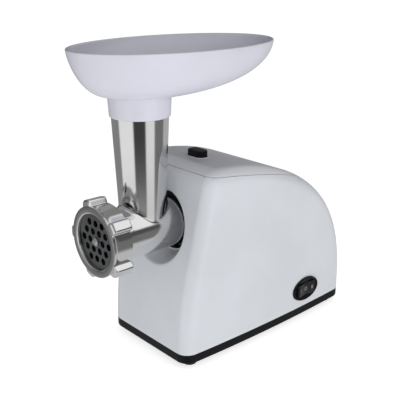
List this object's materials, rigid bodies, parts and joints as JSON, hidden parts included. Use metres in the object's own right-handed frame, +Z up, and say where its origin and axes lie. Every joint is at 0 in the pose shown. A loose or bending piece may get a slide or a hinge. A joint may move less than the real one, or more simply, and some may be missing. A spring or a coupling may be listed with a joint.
{
  "type": "electric meat grinder",
  "caption": "Household electric meat grinder: bowed plastic body with gear motor, metal head with feed tube, oval tray, ring nut and perforated plate.",
  "frame": {"origin": "on the table, under the middle of the whole grinder's box", "axes": "+Z up; -Y is the front, where the meat comes out; +X is the side with the switch"},
  "size_m": [0.129, 0.2876, 0.2853],
  "materials": {
    "housing_grey": "glossy",
    "cover_grey": "glossy",
    "tray_pale": "glossy",
    "black_plastic": "satin",
    "nylon": "satin",
    "gear_black": "satin",
    "case_grey": "satin",
    "polished_aluminium": "polished",
    "steel": "satin",
    "plate_steel": "satin",
    "lamination": "matt",
    "zinc_plate": "satin",
    "copper_wire": "enamelled",
    "sintered_bronze": "satin",
    "carbon": "matt",
    "rubber_black": "matt"
  },
  "bodies": {
    "housing": {"housing_shell": "housing_grey", "top_cover": "cover_grey", "base_plate": "black_plastic", "switch_bezel": "black_plastic", "head_socket": "black_plastic", "switch_body": "black_plastic", "terminal_block": "black_plastic", "gearbox_case": "case_grey", "gearbox_cover": "case_grey", "rocker_pin": "steel", "button_spring": "steel", "latch_pivot": "steel", "gear_axles": "steel", "brush_springs": "steel", "motor_bearings": "steel", "base_screws": "zinc_plate", "gearbox_screws": "zinc_plate", "motor_screws": "zinc_plate", "motor_front_bracket": "zinc_plate", "motor_rear_bracket": "zinc_plate", "stator_core": "lamination", "field_coils": "copper_wire", "output_bushes": "sintered_bronze", "switch_terminals": "sintered_bronze", "brush_holders": "sintered_bronze", "carbon_brushes": "carbon", "rubber_feet": "rubber_black", "motor_cushions": "rubber_black", "cord_inlet": "rubber_black"},
    "drive": {"output_gear": "gear_black", "feed_screw": "polished_aluminium", "cross_knife": "plate_steel"},
    "second_stage": {"second_gear": "nylon"},
    "first_stage": {"first_gear": "nylon"},
    "rotor": {"rotor_shaft": "steel", "rotor_core": "lamination", "rotor_windings": "copper_wire", "commutator": "copper_wire", "cooling_fan": "gear_black", "motor_pinion": "steel"},
    "head": {"grinder_head": "polished_aluminium", "screw_bush": "nylon"},
    "plate": {"cutting_plate": "plate_steel"},
    "nut": {"ring_nut": "polished_aluminium"},
    "tray": {"hopper_tray": "tray_pale"},
    "button": {"release_button": "black_plastic"},
    "lever": {"latch_lever": "steel"},
    "latch": {"latch_pin": "steel"},
    "rocker": {"rocker_switch": "black_plastic"}
  },
  "joints": [
    {"name": "rotor_spin", "type": "hinge", "parent": "housing", "child": "rotor", "pos_m": [0, 0.04, 0.062], "axis": [0, 1, 0], "continuous": true},
    {"name": "first_stage_spin", "type": "hinge", "parent": "housing", "child": "first_stage", "pos_m": [0.014, -0.015, 0.07765], "axis": [0, 1, 0], "continuous": true},
    {"name": "second_stage_spin", "type": "hinge", "parent": "housing", "child": "second_stage", "pos_m": [-0.01351, -0.025, 0.08962], "axis": [0, 1, 0], "continuous": true},
    {"name": "screw_spin", "type": "hinge", "parent": "housing", "child": "drive", "pos_m": [0, -0.03, 0.1246], "axis": [0, 1, 0], "continuous": true},
    {"name": "head_turn", "type": "hinge", "parent": "housing", "child": "head", "pos_m": [0, -0.045, 0.1246], "axis": [0, -1, 0], "range_deg": [0, 30]},
    {"name": "plate_slide", "type": "slide", "parent": "head", "child": "plate", "axis": [0, -1, 0], "range_m": [0, 0.009]},
    {"name": "nut_turn", "type": "hinge", "parent": "plate", "child": "nut", "pos_m": [0, -0.125, 0.1246], "axis": [0, -1, 0], "range_deg": [0, 1080]},
    {"name": "tray_lift", "type": "slide", "parent": "head", "child": "tray", "axis": [0, 0, 1], "range_m": [0, 0.03]},
    {"name": "button_press", "type": "slide", "parent": "housing", "child": "button", "axis": [0, 0, 1], "range_m": [-0.0024, 0], "stiffness_N_per_m": 500, "springref_m": 0.003, "deforming": ["button_spring"]},
    {"name": "lever_tilt", "type": "hinge", "parent": "housing", "child": "lever", "pos_m": [0, -0.03, 0.1676], "axis": [-1, 0, 0], "range_deg": [0, 9.6]},
    {"name": "latch_lift", "type": "slide", "parent": "housing", "child": "latch", "axis": [0, 0, 1], "range_m": [0, 0.0024]},
    {"name": "rocker_turn", "type": "hinge", "parent": "housing", "child": "rocker", "pos_m": [0.0545, 0.0794, 0.0335], "axis": [0, 0, 1], "range_deg": [-8, 8]}
  ],
  "couplings": [
    {"joint": "first_stage_spin", "follows": "rotor_spin", "ratio": -0.2},
    {"joint": "second_stage_spin", "follows": "rotor_spin", "ratio": 0.05},
    {"joint": "screw_spin", "follows": "rotor_spin", "ratio": -0.0125},
    {"joint": "plate_slide", "follows": "nut_turn", "m_per_rad": 0.00047746},
    {"joint": "lever_tilt", "follows": "button_press", "rad_per_m": -68.966},
    {"joint": "latch_lift", "follows": "button_press", "ratio": -0.97931}
  ]
}
